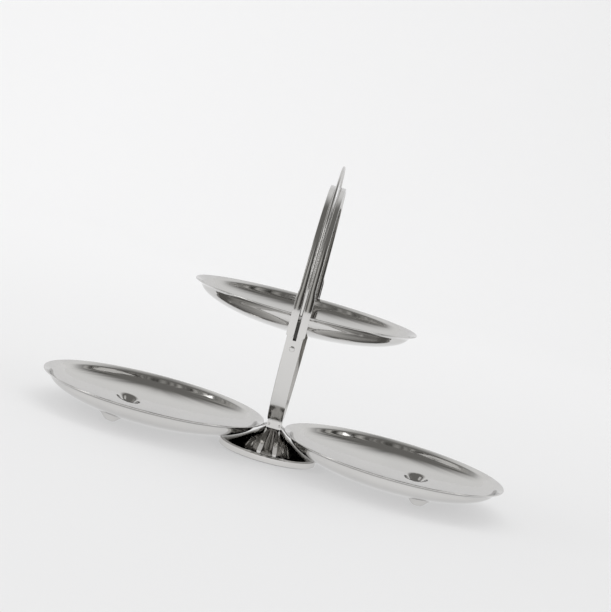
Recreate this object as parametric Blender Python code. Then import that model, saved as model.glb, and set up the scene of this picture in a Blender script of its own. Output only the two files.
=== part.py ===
"""Folding three-dish serving stand in polished stainless steel.

A conical foot carries a round hoop that stands in the front-back plane.  One dish turns on edge inside the
hoop, on the in-turned ends of a wire bail handle.  Two more dishes hinge on the neck and stand on the table
on pressed feet.  Sizes are in metres, +Z is up, +X is to the right and the front faces -Y.
"""

import math

import bmesh
import bpy
from mathutils import Matrix, Vector

MM = 0.001

# Dishes: a flanged sheet bowl, the same pressing for all three
DISH_RIM_R = 85.0 * MM
DISH_FLANGE_W = 5.0 * MM
DISH_FLANGE_RISE = 1.9 * MM
DISH_BOWL_DEPTH = 19.0 * MM
DISH_SHEET = 0.9 * MM
DISH_STEPS = 48

# Pressed feet under the two lower dishes
FOOT_CIRCLE_R = 46.0 * MM
FOOT_R = 9.5 * MM
FOOT_DEPTH = 4.8 * MM
FOOT_FLAT = 0.25
FOOT_ANGLE = math.radians(60.0)

# Hoop: a solid lower cradle and two upper rails
HOOP_CLEARANCE = 2.5 * MM
CRADLE_T = 1.7 * MM
CRADLE_W = 11.5 * MM
CRADLE_TOP = math.radians(11.8)
RAIL_T = 1.8 * MM
RAIL_END = math.radians(-10.4)
RAIL_TONGUE_TOP = math.radians(11.6)
RAIL_TONGUE_GROW = 0.9 * MM
SLOT_W = 2.2 * MM
SLOT_BOTTOM = math.radians(-11.8)

# Wire bail handle with in-turned pivot ends
BAIL_WIRE_R = 0.95 * MM
BAIL_LEG = 15.6 * MM
BAIL_BEND_R = 2.0 * MM

# Lugs that hang the upper dish on the pivots
LUG_T = 1.2 * MM
LUG_W = 8.0 * MM
LUG_EAR_H = 2.7 * MM

# Leaf springs behind the slot, and their rivets
SPRING_T = 0.7 * MM
SPRING_W = 6.0 * MM
SPRING_LOW = math.radians(-18.6)
SPRING_HIGH = math.radians(-3.2)
RIVET_ANGLE = math.radians(-15.8)
RIVET_HEAD_R = 2.0 * MM
RIVET_HEAD_H = 1.0 * MM
RIVET_SHANK_R = 1.0 * MM

# Cross rods that tie the rails together
TIE_ANGLE = math.radians(49.0)
TIE_R = 1.0 * MM
TIE_LENGTH = 8.6 * MM

# Foot cone, with what it holds inside
BASE_R = 37.3 * MM
BASE_BAND_H = 4.5 * MM
BASE_LIFT = 0.4 * MM
BASE_TOP_R = 6.0 * MM
BASE_TOP_Z = 20.7 * MM
BASE_SHEET = 1.2 * MM
BASE_FLARE = 1.6
PAD_T = 1.9 * MM
WEIGHT_BOSS_R = 9.0 * MM
SCREW_R = 1.45 * MM
SCREW_HEAD_R = 3.0 * MM
SCREW_HEAD_H = 2.2 * MM
SCREW_SOCKET_R = 1.5 * MM
SCREW_BITE = 2.4 * MM
WASHER_R = 3.9 * MM
WASHER_T = 0.8 * MM
CRADLE_SCREW_HEAD_H = 1.2 * MM

# Neck block and the hinges of the lower dishes
NECK_W = 11.0 * MM
NECK_L = 13.0 * MM
NECK_H = 5.7 * MM
HINGE_X = 4.0 * MM
HINGE_Z = 23.6 * MM
HINGE_PIN_R = 0.8 * MM
HINGE_PIN_PROUD = 0.2 * MM
EYE_R = 1.6 * MM
LEAF_W = 6.0 * MM
LEAF_T = 1.0 * MM
LOWER_RIM_GAP = 8.0 * MM

# Clearances
SEAT_GAP = 0.2 * MM
RUN_GAP = 0.1 * MM
WELD_GAP = 0.15 * MM
SLOT_SIDE_GAP = 0.3 * MM
CUT_MARGIN = 4.0 * MM

# Values that follow from the ones above
BOWL_R = DISH_RIM_R - DISH_FLANGE_W
CRADLE_INNER_R = DISH_RIM_R + HOOP_CLEARANCE
CRADLE_OUTER_R = CRADLE_INNER_R + CRADLE_T
RAIL_INNER_R = CRADLE_OUTER_R + SEAT_GAP
RAIL_OUTER_R = RAIL_INNER_R + RAIL_T
BAIL_SPAN_R = (RAIL_INNER_R + RAIL_OUTER_R) / 2.0
WEIGHT_Z = PAD_T + SEAT_GAP
NECK_BOTTOM_Z = BASE_TOP_Z + SEAT_GAP
NECK_TOP_Z = NECK_BOTTOM_Z + NECK_H
HOOP_BOTTOM_Z = NECK_TOP_Z + SEAT_GAP
HOOP_Z = HOOP_BOTTOM_Z + CRADLE_OUTER_R

STEEL = (0.72, 0.72, 0.71, 1.0)
DARK_STEEL = (0.55, 0.55, 0.54, 1.0)
IRON = (0.16, 0.16, 0.17, 1.0)
RUBBER = (0.05, 0.05, 0.05, 1.0)


def clear_scene():
    for obj in list(bpy.data.objects):
        bpy.data.objects.remove(obj, do_unlink=True)


def finish_object(name, mesh_data, colour, roughness, metallic):
    """Link a mesh as a named object with its own material and smooth shading."""
    obj = bpy.data.objects.new(name, mesh_data)
    bpy.context.scene.collection.objects.link(obj)
    material = bpy.data.materials.new(name + "_material")
    material.use_nodes = True
    shader = material.node_tree.nodes["Principled BSDF"]
    shader.inputs["Base Color"].default_value = colour
    shader.inputs["Roughness"].default_value = roughness
    shader.inputs["Metallic"].default_value = metallic
    mesh_data.materials.append(material)
    mesh_data.shade_smooth()
    mesh_data.set_sharp_from_angle(angle=math.radians(35.0))
    return obj


def mesh_from(bm, name):
    """Turn a bmesh into mesh data with every face outward."""
    bmesh.ops.recalc_face_normals(bm, faces=bm.faces)
    data = bpy.data.meshes.new(name)
    bm.to_mesh(data)
    bm.free()
    return data


def steel_object(name, bm, colour=STEEL, roughness=0.12):
    return finish_object(name, mesh_from(bm, name), colour, roughness, 1.0)


def lathe(profile, steps):
    """Spin a closed (radius, height) outline once round Z.  Points on the axis are welded."""
    bm = bmesh.new()
    verts = [bm.verts.new((r, 0.0, z)) for r, z in profile]
    edges = [bm.edges.new((verts[i - 1], verts[i])) for i in range(len(verts))]
    bmesh.ops.spin(
        bm, geom=verts + edges, cent=(0, 0, 0), axis=(0, 0, 1), angle=math.tau, steps=steps, use_merge=True
    )
    bmesh.ops.remove_doubles(bm, verts=bm.verts, dist=1e-6)
    bmesh.ops.dissolve_degenerate(bm, dist=1e-7, edges=bm.edges)
    return bm


def prism(outline, half_width, axis):
    """Extrude a closed outline both ways along X or Y.  Outline points are (across, height)."""
    bm = bmesh.new()
    if axis == "X":
        corners = [bm.verts.new((-half_width, a, z)) for a, z in outline]
        step = Vector((2.0 * half_width, 0.0, 0.0))
    else:
        corners = [bm.verts.new((a, -half_width, z)) for a, z in outline]
        step = Vector((0.0, 2.0 * half_width, 0.0))
    face = bm.faces.new(corners)
    made = bmesh.ops.extrude_face_region(bm, geom=[face])
    moved = [item for item in made["geom"] if isinstance(item, bmesh.types.BMVert)]
    bmesh.ops.translate(bm, verts=moved, vec=step)
    return bm


def cylinder(radius, length, axis, centre, steps=20):
    """A plain closed cylinder along X, Y or Z."""
    bm = bmesh.new()
    bmesh.ops.create_cone(
        bm, cap_ends=True, cap_tris=False, segments=steps, radius1=radius, radius2=radius, depth=length
    )
    turn = {
        "X": Matrix.Rotation(math.pi / 2, 4, "Y"),
        "Y": Matrix.Rotation(math.pi / 2, 4, "X"),
        "Z": Matrix.Identity(4),
    }[axis]
    bmesh.ops.transform(bm, matrix=Matrix.Translation(centre) @ turn, verts=bm.verts)
    return bm


def box(low, high):
    """A plain closed box between two corners."""
    bm = bmesh.new()
    bmesh.ops.create_cube(bm, size=1.0)
    low = Vector(low)
    high = Vector(high)
    size = high - low
    bmesh.ops.scale(bm, vec=size, verts=bm.verts)
    bmesh.ops.translate(bm, vec=(low + high) / 2.0, verts=bm.verts)
    return bm


def cut(obj, cutters):
    """Subtract each bmesh from the object with exact Booleans, then drop the cutters."""
    for bm in cutters:
        tool = bpy.data.objects.new("cutter", mesh_from(bm, "cutter"))
        bpy.context.scene.collection.objects.link(tool)
        tool.hide_render = True
        tool.display_type = "WIRE"
        modifier = obj.modifiers.new("cut", "BOOLEAN")
        modifier.operation = "DIFFERENCE"
        modifier.solver = "EXACT"
        modifier.object = tool
        depsgraph = bpy.context.evaluated_depsgraph_get()
        data = bpy.data.meshes.new_from_object(obj.evaluated_get(depsgraph))
        obj.modifiers.clear()
        obj.data = data
        bpy.data.objects.remove(tool, do_unlink=True)
    obj.data.shade_smooth()
    obj.data.set_sharp_from_angle(angle=math.radians(35.0))


def on_hoop(radius, angle, side=-1.0):
    """A point on the hoop's plane.  Angle is above the horizontal; side -1 is the front limb."""
    return (side * radius * math.cos(angle), HOOP_Z + radius * math.sin(angle))


def arc_strip(inner_r, outer_r, stations):
    """A strip along the hoop.  Stations are (angle round from the front, low x, high x)."""
    bm = bmesh.new()
    rows = []
    for angle, low_x, high_x in stations:
        inner_y, inner_z = on_hoop(inner_r, angle)
        outer_y, outer_z = on_hoop(outer_r, angle)
        rows.append(
            [
                bm.verts.new((low_x, inner_y, inner_z)),
                bm.verts.new((high_x, inner_y, inner_z)),
                bm.verts.new((high_x, outer_y, outer_z)),
                bm.verts.new((low_x, outer_y, outer_z)),
            ]
        )
    for here, there in zip(rows, rows[1:]):
        for i in range(4):
            j = (i + 1) % 4
            bm.faces.new((here[i], here[j], there[j], there[i]))
    bm.faces.new(rows[0])
    bm.faces.new(rows[-1])
    return bm


def spread(low, high, count):
    return [low + (high - low) * i / count for i in range(count + 1)]


def smooth_step(value):
    value = min(max(value, 0.0), 1.0)
    return value * value * (3.0 - 2.0 * value)


# Dishes

def bowl_points(side, radii):
    """(radius, height) points down one side of the bowl; height 0 is the top of the rim."""
    outer = side == "under"
    reach = BOWL_R + 0.2 * DISH_SHEET if outer else BOWL_R - 0.8 * DISH_SHEET
    depth = DISH_BOWL_DEPTH if outer else DISH_BOWL_DEPTH - DISH_SHEET
    points = []
    for part in radii:
        radius = reach * part
        drop = math.sqrt(1.0 - part * part)
        points.append((radius, -DISH_FLANGE_RISE - depth * drop))
    return points


def press_depth(x, y):
    """How far the sheet is pressed down at a point, for the pair of feet on the +X side of a dish."""
    deepest = 0.0
    for sign in (-1.0, 1.0):
        foot_x = FOOT_CIRCLE_R * math.cos(FOOT_ANGLE)
        foot_y = sign * FOOT_CIRCLE_R * math.sin(FOOT_ANGLE)
        away = math.hypot(x - foot_x, y - foot_y) / FOOT_R
        deepest = max(deepest, FOOT_DEPTH * smooth_step((1.0 - away) / (1.0 - FOOT_FLAT)))
    return deepest


def dish_angles(with_feet):
    """Angles round the dish, closer together where a foot is pressed."""
    step = math.tau / DISH_STEPS
    angles = []
    for i in range(DISH_STEPS):
        angle = -math.pi + i * step
        angles.append(angle)
        middle = angle + step / 2.0
        near_foot = abs(abs(middle) - FOOT_ANGLE) * FOOT_CIRCLE_R < 1.25 * FOOT_R
        if with_feet and near_foot:
            angles.append(middle)
    return angles


def dish_radii(with_feet):
    """Bowl radii as shares of its full radius, from the wall to near the middle."""
    wall = [0.998, 0.978, 0.935, 0.865, 0.775]
    if not with_feet:
        return wall + [0.66, 0.5, 0.33, 0.16]
    middle = FOOT_CIRCLE_R / BOWL_R
    reach = FOOT_R / BOWL_R
    feet = [middle + reach * part for part in (1.05, 0.7, 0.35, 0.0, -0.35, -0.7, -1.05)]
    return [part for part in wall if part > feet[0] + 0.03] + feet + [0.3, 0.15]


def dish_mesh(with_feet, outward):
    """One dish about its own middle, with the feet pressed on the outward (+1 or -1 along X) side."""
    radii = dish_radii(with_feet)
    flange_top = [(DISH_RIM_R, 0.0), (BOWL_R, -DISH_FLANGE_RISE)]
    flange_under = [
        (DISH_RIM_R, -DISH_SHEET),
        (BOWL_R + DISH_SHEET, -DISH_SHEET - DISH_FLANGE_RISE * 0.8),
    ]
    top = flange_top + bowl_points("top", radii)
    under = flange_under + bowl_points("under", radii)
    angles = dish_angles(with_feet)

    def place(bm, radius, height, angle):
        x = radius * math.cos(angle)
        y = radius * math.sin(angle)
        press = press_depth(x, y) if with_feet else 0.0
        return bm.verts.new((x * outward, y, height - press))

    bm = bmesh.new()
    loop = top[::-1] + under
    rings = [[place(bm, radius, height, angle) for angle in angles] for radius, height in loop]
    count = len(angles)
    for here, there in zip(rings, rings[1:]):
        for i in range(count):
            j = (i + 1) % count
            bm.faces.new((here[i], here[j], there[j], there[i]))
    for ring, height in ((rings[0], bowl_points("top", [0.0])), (rings[-1], bowl_points("under", [0.0]))):
        pole = place(bm, 0.0, height[0][1], 0.0)
        for i in range(count):
            bm.faces.new((pole, ring[i], ring[(i + 1) % count]))
    return bm


def lower_rim_height():
    """Rim height that puts the lowest pressed foot on the table."""
    bm = dish_mesh(True, 1.0)
    lowest = min(vert.co.z for vert in bm.verts)
    bm.free()
    return -lowest


def make_upper_dish():
    dish = steel_object("upper_dish", dish_mesh(False, 1.0))
    dish.location = (0.0, 0.0, HOOP_Z)
    pin_gap = BAIL_WIRE_R + RUN_GAP
    ear_low = -LUG_EAR_H
    tab_in = BOWL_R + DISH_SHEET + WELD_GAP
    ear_in = DISH_RIM_R + 2.0 * WELD_GAP
    slope = DISH_FLANGE_RISE / DISH_FLANGE_W

    def under_flange(radius):
        return -DISH_SHEET - WELD_GAP - slope * (DISH_RIM_R - radius)

    outline = [
        (ear_in + LUG_T, LUG_EAR_H),
        (ear_in, LUG_EAR_H),
        (ear_in, under_flange(ear_in)),
        (tab_in, under_flange(tab_in)),
        (tab_in, under_flange(tab_in) - LUG_T),
        (ear_in + LUG_T, min(ear_low, under_flange(ear_in) - LUG_T)),
    ]
    for name, side in (("front_dish_lug", -1.0), ("back_dish_lug", 1.0)):
        placed = [(side * radius, height) for radius, height in outline]
        lug = steel_object(name, prism(placed, LUG_W / 2.0, "X"), DARK_STEEL, 0.25)
        hole = cylinder(pin_gap, 6.0 * LUG_T, "Y", (0.0, side * (ear_in + LUG_T), 0.0))
        cut(lug, [hole])
        lug.location = (0.0, 0.0, HOOP_Z)


def make_lower_dish(name, side, rim_z):
    """A lower dish and its hinge leaf, both with their origin on the hinge axis."""
    axis = Vector((side * HINGE_X, 0.0, HINGE_Z))
    middle = Vector((side * (LOWER_RIM_GAP + DISH_RIM_R), 0.0, rim_z))
    bm = dish_mesh(True, side)
    bmesh.ops.translate(bm, vec=middle - axis, verts=bm.verts)
    dish = steel_object(name + "_dish", bm)
    dish.location = axis

    slope = DISH_FLANGE_RISE / DISH_FLANGE_W
    half = LEAF_T / 2.0
    start = LOWER_RIM_GAP + 0.3 * MM - HINGE_X
    end = LOWER_RIM_GAP + DISH_FLANGE_W - DISH_SHEET - HINGE_X
    start_z = rim_z - DISH_SHEET - WELD_GAP - slope * 0.3 * MM - HINGE_Z
    end_z = start_z - slope * (end - start)
    bend = Vector((start, start_z - 1.1 * half))
    along = bend.normalized()
    across = Vector((-along.y, along.x)) * half
    spread_angle = math.asin(half / EYE_R)
    heading = math.atan2(along.y, along.x)
    eye = []
    for i in range(17):
        angle = heading + spread_angle + (math.tau - 2.0 * spread_angle) * i / 16
        eye.append((EYE_R * math.cos(angle), EYE_R * math.sin(angle)))
    lower_bend = bend - across
    outline = eye + [
        (lower_bend.x, lower_bend.y - 0.1 * half),
        (end, end_z - LEAF_T),
        (end, end_z),
        (start, start_z),
    ]
    placed = [(side * a, z) for a, z in outline]
    leaf = steel_object(name + "_hinge_leaf", prism(placed, LEAF_W / 2.0, "Y"), DARK_STEEL, 0.25)
    cut(leaf, [cylinder(HINGE_PIN_R + RUN_GAP, 2.0 * LEAF_W, "Y", (0.0, 0.0, 0.0), 16)])
    leaf.location = axis

    pin_length = NECK_L + 2.0 * HINGE_PIN_PROUD
    pin = steel_object(name + "_hinge_pin", cylinder(HINGE_PIN_R, pin_length, "Y", (0, 0, 0), 16))
    pin.location = axis


# Hoop

def make_cradle():
    half = CRADLE_W / 2.0
    angles = spread(CRADLE_TOP, -math.pi - CRADLE_TOP, 44)
    stations = [(angle, -half, half) for angle in angles]
    cradle = steel_object("hoop_cradle", arc_strip(CRADLE_INNER_R, CRADLE_OUTER_R, stations))
    cutters = []
    slot_z = on_hoop(CRADLE_OUTER_R, SLOT_BOTTOM)[1]
    for side in (-1.0, 1.0):
        near = side * (CRADLE_INNER_R - CUT_MARGIN)
        far = side * (CRADLE_OUTER_R + CUT_MARGIN)
        low = (-SLOT_W / 2.0, min(near, far), slot_z)
        high = (SLOT_W / 2.0, max(near, far), HOOP_Z + CRADLE_OUTER_R * math.sin(CRADLE_TOP) + CUT_MARGIN)
        cutters.append(box(low, high))
        cutters.append(radial_cylinder(RIVET_SHANK_R + RUN_GAP, side))
    screw_hole = cylinder(SCREW_R + RUN_GAP, 8.0 * CRADLE_T, "Z", (0.0, 0.0, HOOP_BOTTOM_Z + CRADLE_T / 2.0))
    cut(cradle, cutters + [screw_hole])


def radial_cylinder(radius, side):
    """A cutter along the rivet's own line through the hoop."""
    bm = cylinder(radius, 8.0 * CRADLE_T, "Y", (0.0, 0.0, 0.0), 16)
    y, z = on_hoop(CRADLE_OUTER_R - CRADLE_T / 2.0, RIVET_ANGLE, side)
    turn = Matrix.Rotation(side * RIVET_ANGLE, 4, "X")
    bmesh.ops.transform(bm, matrix=Matrix.Translation((0.0, y, z)) @ turn, verts=bm.verts)
    return bm


def rail_half_widths(angle):
    """Inner and outer |x| of a rail.  It is wider, with a rounded tongue, where it laps the cradle."""
    inner = SLOT_W / 2.0
    outer = CRADLE_W / 2.0
    height = angle if angle < math.pi / 2.0 else math.pi - angle
    wide = RAIL_TONGUE_TOP - math.radians(4.0)
    outer += RAIL_TONGUE_GROW * smooth_step((RAIL_TONGUE_TOP - height) / (RAIL_TONGUE_TOP - wide))
    middle = (inner + outer) / 2.0
    half = (outer - inner) / 2.0
    from_end = (height - RAIL_END) * RAIL_OUTER_R
    if from_end < half:
        half *= math.sqrt(max(1.0 - (1.0 - from_end / half) ** 2, 0.0625))
    return middle - half, middle + half


def make_rails():
    tongue = [RAIL_END + math.radians(d) for d in (0.0, 0.12, 0.45, 0.95, 1.75)]
    shoulder = [RAIL_TONGUE_TOP - math.radians(d) for d in (4.0, 2.7, 1.3, 0.0)]
    low_part = tongue + [0.0] + shoulder
    over = spread(RAIL_TONGUE_TOP, math.pi - RAIL_TONGUE_TOP, 36)[1:-1]
    angles = low_part + over + [math.pi - angle for angle in reversed(low_part)]
    for name, side in (("left_rail", -1.0), ("right_rail", 1.0)):
        stations = []
        for angle in angles:
            near, far = rail_half_widths(angle)
            stations.append((angle, side * near, side * far))
        steel_object(name, arc_strip(RAIL_INNER_R, RAIL_OUTER_R, stations))


def make_bail():
    """A wire bent to an arch, two legs and two in-turned ends, drawn as a bevelled curve."""
    arch_z = HOOP_Z + BAIL_LEG
    pin_end = DISH_RIM_R + WELD_GAP
    half_path = [(-pin_end, HOOP_Z)]
    for turn in spread(0.0, math.pi / 2.0, 4):
        y = -BAIL_SPAN_R + BAIL_BEND_R * (1.0 - math.sin(turn))
        z = HOOP_Z + BAIL_BEND_R * (1.0 - math.cos(turn))
        half_path.append((y, z))
    path = list(half_path)
    for angle in spread(0.0, math.pi, 32):
        path.append((-BAIL_SPAN_R * math.cos(angle), arch_z + BAIL_SPAN_R * math.sin(angle)))
    path += [(-y, z) for y, z in reversed(half_path)]
    curve = bpy.data.curves.new("bail_path", "CURVE")
    curve.dimensions = "3D"
    curve.bevel_depth = BAIL_WIRE_R
    curve.bevel_resolution = 2
    curve.use_fill_caps = True
    spline = curve.splines.new("POLY")
    spline.points.add(len(path) - 1)
    for point, (y, z) in zip(spline.points, path):
        point.co = (0.0, y, z, 1.0)
    drawn = bpy.data.objects.new("bail_path", curve)
    bpy.context.scene.collection.objects.link(drawn)
    depsgraph = bpy.context.evaluated_depsgraph_get()
    bm = bmesh.new()
    bm.from_mesh(bpy.data.meshes.new_from_object(drawn.evaluated_get(depsgraph)))
    bmesh.ops.remove_doubles(bm, verts=bm.verts, dist=1e-6)
    bpy.data.objects.remove(drawn, do_unlink=True)
    steel_object("bail_handle", bm, STEEL, 0.15)


def make_springs():
    outer = CRADLE_INNER_R - SEAT_GAP
    inner = outer - SPRING_T
    half = SPRING_W / 2.0
    for name, side in (("front", -1.0), ("back", 1.0)):
        angles = spread(SPRING_LOW, SPRING_HIGH, 6)
        if side > 0.0:
            angles = [math.pi - angle for angle in angles]
        stations = [(angle, -half, half) for angle in angles]
        spring = steel_object(name + "_leaf_spring", arc_strip(inner, outer, stations), DARK_STEEL, 0.3)
        cut(spring, [radial_cylinder(RIVET_SHANK_R + RUN_GAP, side)])
        make_rivet(name + "_spring_rivet", side, inner)


def make_rivet(name, side, spring_inner_r):
    """A domed rivet along the hoop's radius, through the cradle and the spring."""
    base = CRADLE_OUTER_R + RUN_GAP
    back = spring_inner_r - RUN_GAP
    profile = [
        (0.0, base + RIVET_HEAD_H),
        (0.5 * RIVET_HEAD_R, base + 0.88 * RIVET_HEAD_H),
        (0.85 * RIVET_HEAD_R, base + 0.55 * RIVET_HEAD_H),
        (RIVET_HEAD_R, base),
        (RIVET_SHANK_R, base),
        (RIVET_SHANK_R, back),
        (0.85 * RIVET_HEAD_R, back),
        (0.7 * RIVET_HEAD_R, back - 0.5 * RIVET_HEAD_H),
        (0.0, back - 0.6 * RIVET_HEAD_H),
    ]
    bm = lathe(profile, 20)
    lean = math.pi / 2.0 - RIVET_ANGLE
    turn = Matrix.Rotation(-side * lean, 4, "X")
    bmesh.ops.transform(bm, matrix=Matrix.Translation((0.0, 0.0, HOOP_Z)) @ turn, verts=bm.verts)
    steel_object(name, bm)


def make_ties():
    radius = RAIL_INNER_R - SEAT_GAP - TIE_R
    for name, side in (("front_rail_tie", -1.0), ("back_rail_tie", 1.0)):
        y, z = on_hoop(radius, TIE_ANGLE, side)
        tie = steel_object(name, cylinder(TIE_R, TIE_LENGTH, "X", (0.0, 0.0, 0.0), 16), DARK_STEEL, 0.25)
        tie.location = (0.0, y, z)


# Foot

def cone_height(radius):
    """Outside height of the flared cone at a radius."""
    edge = BASE_R - BASE_SHEET
    along = min(max((radius - BASE_TOP_R) / (edge - BASE_TOP_R), 0.0), 1.0)
    low = BASE_BAND_H + 0.6 * BASE_SHEET
    return low + (BASE_TOP_Z - low) * (1.0 - along) ** BASE_FLARE


def make_base():
    edge = BASE_R - BASE_SHEET
    hole = SCREW_R + SEAT_GAP
    radii = spread(edge, BASE_TOP_R, 8)
    outside = [(BASE_R, BASE_LIFT), (BASE_R, BASE_BAND_H), (BASE_R - 0.35 * BASE_SHEET, BASE_BAND_H + 0.4 * BASE_SHEET)]
    outside += [(radius, cone_height(radius)) for radius in radii]
    inside = [(radius, cone_height(radius) - 1.1 * BASE_SHEET) for radius in reversed(radii[1:])]
    inside += [(edge, BASE_BAND_H - 0.5 * BASE_SHEET), (edge, BASE_LIFT)]
    profile = outside + [(hole, BASE_TOP_Z), (hole, BASE_TOP_Z - 1.1 * BASE_SHEET)] + inside
    steel_object("base_cone", lathe(profile, 40))

    room = 1.1 * BASE_SHEET + SEAT_GAP
    top_z = cone_height(WEIGHT_BOSS_R) - room
    seat_z = WEIGHT_Z + SCREW_HEAD_H + WASHER_T + 3.0 * SEAT_GAP
    outer = edge - SEAT_GAP
    weight_radii = spread(outer - BASE_SHEET, WEIGHT_BOSS_R, 6)
    weight_top = []
    for radius in weight_radii:
        weight_top.append((radius, max(cone_height(radius) - room, WEIGHT_Z + BASE_SHEET)))
    pocket = WASHER_R + SEAT_GAP
    weight = [(hole, seat_z), (pocket, seat_z), (pocket, WEIGHT_Z), (outer, WEIGHT_Z), (outer, WEIGHT_Z + BASE_SHEET)]
    weight += weight_top + [(hole, top_z)]
    finish_object("base_weight", mesh_from(lathe(weight, 40), "base_weight"), IRON, 0.6, 0.8)

    pad = cylinder(edge - SEAT_GAP, PAD_T, "Z", (0.0, 0.0, PAD_T / 2.0), 48)
    finish_object("base_pad", mesh_from(pad, "base_pad"), RUBBER, 0.8, 0.0)

    washer_z = seat_z - SEAT_GAP - WASHER_T
    washer = [(hole, washer_z), (WASHER_R, washer_z), (WASHER_R, washer_z + WASHER_T), (hole, washer_z + WASHER_T)]
    steel_object("base_washer", lathe(washer, 28), DARK_STEEL, 0.3)

    head_top = washer_z - SEAT_GAP
    screw_end = NECK_BOTTOM_Z + SCREW_BITE
    screw = [(0.0, head_top - SCREW_HEAD_H), (SCREW_HEAD_R, head_top - SCREW_HEAD_H), (SCREW_HEAD_R, head_top)]
    screw += [(SCREW_R, head_top), (SCREW_R, screw_end), (0.0, screw_end)]
    base_screw = steel_object("base_screw", lathe(screw, 20), DARK_STEEL, 0.3)
    socket_centre = (0.0, 0.0, head_top - SCREW_HEAD_H)
    cut(base_screw, [cylinder(SCREW_SOCKET_R, SCREW_HEAD_H, "Z", socket_centre, 6)])


def make_neck():
    low = (-NECK_W / 2.0, -NECK_L / 2.0, NECK_BOTTOM_Z)
    high = (NECK_W / 2.0, NECK_L / 2.0, NECK_TOP_Z)
    neck = steel_object("neck_block", box(low, high), STEEL, 0.2)
    slot_half = LEAF_W / 2.0 + SLOT_SIDE_GAP
    slot_in = HINGE_X - EYE_R - SLOT_SIDE_GAP
    middle_z = (NECK_BOTTOM_Z + NECK_TOP_Z) / 2.0
    cutters = []
    for side in (-1.0, 1.0):
        near = side * slot_in
        far = side * (NECK_W / 2.0 + CUT_MARGIN)
        cutters.append(
            box(
                (min(near, far), -slot_half, NECK_BOTTOM_Z - CUT_MARGIN),
                (max(near, far), slot_half, NECK_TOP_Z + CUT_MARGIN),
            )
        )
        cutters.append(cylinder(HINGE_PIN_R + RUN_GAP / 2.0, 2.0 * NECK_L, "Y", (side * HINGE_X, 0.0, HINGE_Z), 16))
    cutters.append(cylinder(SCREW_R + RUN_GAP, 2.0 * NECK_L, "Z", (0.0, 0.0, middle_z), 20))
    cut(neck, cutters)

    seat = HOOP_BOTTOM_Z + CRADLE_T + SEAT_GAP
    end = NECK_TOP_Z - SCREW_BITE
    screw = [(0.0, end), (SCREW_R, end), (SCREW_R, seat), (SCREW_HEAD_R, seat)]
    screw += [
        (SCREW_HEAD_R, seat + 0.5 * CRADLE_SCREW_HEAD_H),
        (0.6 * SCREW_HEAD_R, seat + CRADLE_SCREW_HEAD_H),
        (0.0, seat + CRADLE_SCREW_HEAD_H),
    ]
    steel_object("cradle_screw", lathe(screw, 20), DARK_STEEL, 0.3)


def main():
    clear_scene()
    rim_z = lower_rim_height()
    make_base()
    make_neck()
    make_cradle()
    make_rails()
    make_bail()
    make_springs()
    make_ties()
    make_upper_dish()
    make_lower_dish("left", -1.0, rim_z)
    make_lower_dish("right", 1.0, rim_z)


main()
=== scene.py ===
"""Looks of the folding three-dish serving stand.

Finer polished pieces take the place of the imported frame's plain ones, on a pale table in a plain studio.
"""

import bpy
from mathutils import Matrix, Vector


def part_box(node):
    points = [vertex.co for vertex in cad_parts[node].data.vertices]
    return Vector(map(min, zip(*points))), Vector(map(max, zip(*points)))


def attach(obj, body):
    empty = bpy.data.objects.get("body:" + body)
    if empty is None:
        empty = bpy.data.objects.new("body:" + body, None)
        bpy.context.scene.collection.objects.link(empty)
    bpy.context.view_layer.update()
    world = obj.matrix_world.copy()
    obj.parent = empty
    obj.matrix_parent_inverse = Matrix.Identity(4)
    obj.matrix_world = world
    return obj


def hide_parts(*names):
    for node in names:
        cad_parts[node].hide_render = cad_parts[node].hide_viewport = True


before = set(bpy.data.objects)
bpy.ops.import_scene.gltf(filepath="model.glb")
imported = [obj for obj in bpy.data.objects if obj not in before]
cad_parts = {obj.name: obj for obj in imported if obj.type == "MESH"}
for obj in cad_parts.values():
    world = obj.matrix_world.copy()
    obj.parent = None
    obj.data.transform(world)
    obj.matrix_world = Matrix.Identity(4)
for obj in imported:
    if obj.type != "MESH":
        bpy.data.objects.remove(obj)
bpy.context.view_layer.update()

import math

import bmesh
import bpy
from bpy.props import FloatProperty, FloatVectorProperty, IntProperty, PointerProperty
from mathutils import Matrix, Vector

bl_info = {
    "name": "Folding three-dish serving stand",
    "version": (1, 0, 0),
    "blender": (4, 5, 0),
    "location": "3D View > Sidebar > Serving Stand",
    "description": "Builds the polished pieces of the serving stand and its studio",
    "category": "Object",
}

MM = 0.001

# Bodies that the polished pieces ride on
STAND = "stand"
UPPER = "upper"
LEFT = "left"
RIGHT = "right"

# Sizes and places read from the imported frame
UPPER_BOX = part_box("upper_dish")
LEFT_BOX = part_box("left_dish")
RIGHT_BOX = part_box("right_dish")
CRADLE_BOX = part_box("hoop_cradle")
CONE_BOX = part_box("base_cone")
DISH_RIM_R = (UPPER_BOX[1].x - UPPER_BOX[0].x) / 2.0
HOOP_Z = UPPER_BOX[1].z
CRADLE_OUTER_R = HOOP_Z - CRADLE_BOX[0].z
CONE_R = (CONE_BOX[1].x - CONE_BOX[0].x) / 2.0
CONE_TOP_Z = CONE_BOX[1].z
CONE_LIFT = CONE_BOX[0].z


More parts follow.
